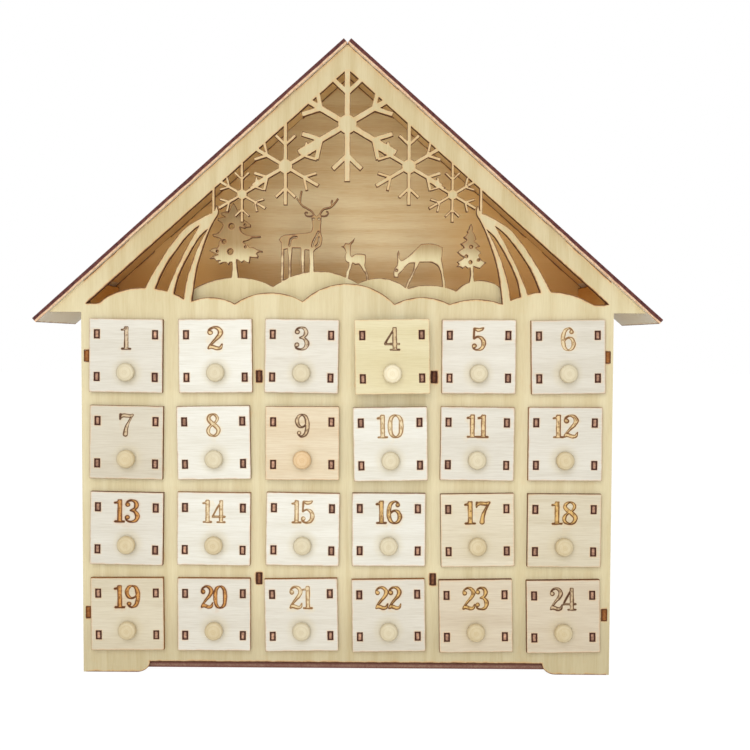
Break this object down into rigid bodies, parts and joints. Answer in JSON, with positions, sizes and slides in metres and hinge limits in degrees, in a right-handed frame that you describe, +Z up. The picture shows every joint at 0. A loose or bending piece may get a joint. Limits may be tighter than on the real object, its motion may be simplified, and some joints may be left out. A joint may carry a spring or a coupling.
{
  "type": "drawer advent calendar",
  "caption": "Gabled plywood house with rows of small numbered pull-out drawers and a fretwork gable of snowflakes, comets and deer.",
  "frame": {"origin": "on the table under the centre of the bounding box", "axes": "+Z up, +X to the right seen from the front, +Y from the front to the back"},
  "size_m": [0.2986, 0.079, 0.2999],
  "materials": {
    "front_wood": "matte",
    "scene_wood": "matte",
    "inner_wood": "matte",
    "roof_wood": "matte",
    "plate_wood": "matte",
    "tray_wood": "matte"
  },
  "bodies": {
    "house": {"front_panel": "front_wood", "scene_panel": "scene_wood", "back_panel": "inner_wood", "side_left": "inner_wood", "side_right": "inner_wood", "base_board": "inner_wood", "attic_floor": "inner_wood", "roof_left": "roof_wood", "roof_right": "roof_wood", "divider_left": "inner_wood", "divider_right": "inner_wood", "drawer_grid": "inner_wood"},
    "drawer_01": {"drawer_01_front": "plate_wood", "drawer_01_tray": "tray_wood"},
    "drawer_02": {"drawer_02_front": "plate_wood", "drawer_02_tray": "tray_wood"},
    "drawer_03": {"drawer_03_front": "plate_wood", "drawer_03_tray": "tray_wood"},
    "drawer_04": {"drawer_04_front": "plate_wood", "drawer_04_tray": "tray_wood"},
    "drawer_05": {"drawer_05_front": "plate_wood", "drawer_05_tray": "tray_wood"},
    "drawer_06": {"drawer_06_front": "plate_wood", "drawer_06_tray": "tray_wood"},
    "drawer_07": {"drawer_07_front": "plate_wood", "drawer_07_tray": "tray_wood"},
    "drawer_08": {"drawer_08_front": "plate_wood", "drawer_08_tray": "tray_wood"},
    "drawer_09": {"drawer_09_front": "plate_wood", "drawer_09_tray": "tray_wood"},
    "drawer_10": {"drawer_10_front": "plate_wood", "drawer_10_tray": "tray_wood"},
    "drawer_11": {"drawer_11_front": "plate_wood", "drawer_11_tray": "tray_wood"},
    "drawer_12": {"drawer_12_front": "plate_wood", "drawer_12_tray": "tray_wood"},
    "drawer_13": {"drawer_13_front": "plate_wood", "drawer_13_tray": "tray_wood"},
    "drawer_14": {"drawer_14_front": "plate_wood", "drawer_14_tray": "tray_wood"},
    "drawer_15": {"drawer_15_front": "plate_wood", "drawer_15_tray": "tray_wood"},
    "drawer_16": {"drawer_16_front": "plate_wood", "drawer_16_tray": "tray_wood"},
    "drawer_17": {"drawer_17_front": "plate_wood", "drawer_17_tray": "tray_wood"},
    "drawer_18": {"drawer_18_front": "plate_wood", "drawer_18_tray": "tray_wood"},
    "drawer_19": {"drawer_19_front": "plate_wood", "drawer_19_tray": "tray_wood"},
    "drawer_20": {"drawer_20_front": "plate_wood", "drawer_20_tray": "tray_wood"},
    "drawer_21": {"drawer_21_front": "plate_wood", "drawer_21_tray": "tray_wood"},
    "drawer_22": {"drawer_22_front": "plate_wood", "drawer_22_tray": "tray_wood"},
    "drawer_23": {"drawer_23_front": "plate_wood", "drawer_23_tray": "tray_wood"},
    "drawer_24": {"drawer_24_front": "plate_wood", "drawer_24_tray": "tray_wood"}
  },
  "joints": [
    {"name": "drawer_01_slide", "type": "slide", "parent": "house", "child": "drawer_01", "axis": [0, -1, 0], "range_m": [0, 0.044]},
    {"name": "drawer_02_slide", "type": "slide", "parent": "house", "child": "drawer_02", "axis": [0, -1, 0], "range_m": [0, 0.044]},
    {"name": "drawer_03_slide", "type": "slide", "parent": "house", "child": "drawer_03", "axis": [0, -1, 0], "range_m": [0, 0.044]},
    {"name": "drawer_04_slide", "type": "slide", "parent": "house", "child": "drawer_04", "axis": [0, -1, 0], "range_m": [-0.007, 0.037]},
    {"name": "drawer_05_slide", "type": "slide", "parent": "house", "child": "drawer_05", "axis": [0, -1, 0], "range_m": [0, 0.044]},
    {"name": "drawer_06_slide", "type": "slide", "parent": "house", "child": "drawer_06", "axis": [0, -1, 0], "range_m": [0, 0.044]},
    {"name": "drawer_07_slide", "type": "slide", "parent": "house", "child": "drawer_07", "axis": [0, -1, 0], "range_m": [0, 0.044]},
    {"name": "drawer_08_slide", "type": "slide", "parent": "house", "child": "drawer_08", "axis": [0, -1, 0], "range_m": [0, 0.044]},
    {"name": "drawer_09_slide", "type": "slide", "parent": "house", "child": "drawer_09", "axis": [0, -1, 0], "range_m": [-0.001, 0.043]},
    {"name": "drawer_10_slide", "type": "slide", "parent": "house", "child": "drawer_10", "axis": [0, -1, 0], "range_m": [-0.003, 0.041]},
    {"name": "drawer_11_slide", "type": "slide", "parent": "house", "child": "drawer_11", "axis": [0, -1, 0], "range_m": [0, 0.044]},
    {"name": "drawer_12_slide", "type": "slide", "parent": "house", "child": "drawer_12", "axis": [0, -1, 0], "range_m": [0, 0.044]},
    {"name": "drawer_13_slide", "type": "slide", "parent": "house", "child": "drawer_13", "axis": [0, -1, 0], "range_m": [0, 0.044]},
    {"name": "drawer_14_slide", "type": "slide", "parent": "house", "child": "drawer_14", "axis": [0, -1, 0], "range_m": [0, 0.044]},
    {"name": "drawer_15_slide", "type": "slide", "parent": "house", "child": "drawer_15", "axis": [0, -1, 0], "range_m": [0, 0.044]},
    {"name": "drawer_16_slide", "type": "slide", "parent": "house", "child": "drawer_16", "axis": [0, -1, 0], "range_m": [0, 0.044]},
    {"name": "drawer_17_slide", "type": "slide", "parent": "house", "child": "drawer_17", "axis": [0, -1, 0], "range_m": [0, 0.044]},
    {"name": "drawer_18_slide", "type": "slide", "parent": "house", "child": "drawer_18", "axis": [0, -1, 0], "range_m": [0, 0.044]},
    {"name": "drawer_19_slide", "type": "slide", "parent": "house", "child": "drawer_19", "axis": [0, -1, 0], "range_m": [0, 0.044]},
    {"name": "drawer_20_slide", "type": "slide", "parent": "house", "child": "drawer_20", "axis": [0, -1, 0], "range_m": [0, 0.044]},
    {"name": "drawer_21_slide", "type": "slide", "parent": "house", "child": "drawer_21", "axis": [0, -1, 0], "range_m": [0, 0.044]},
    {"name": "drawer_22_slide", "type": "slide", "parent": "house", "child": "drawer_22", "axis": [0, -1, 0], "range_m": [0, 0.044]},
    {"name": "drawer_23_slide", "type": "slide", "parent": "house", "child": "drawer_23", "axis": [0, -1, 0], "range_m": [0, 0.044]},
    {"name": "drawer_24_slide", "type": "slide", "parent": "house", "child": "drawer_24", "axis": [0, -1, 0], "range_m": [0, 0.044]}
  ]
}
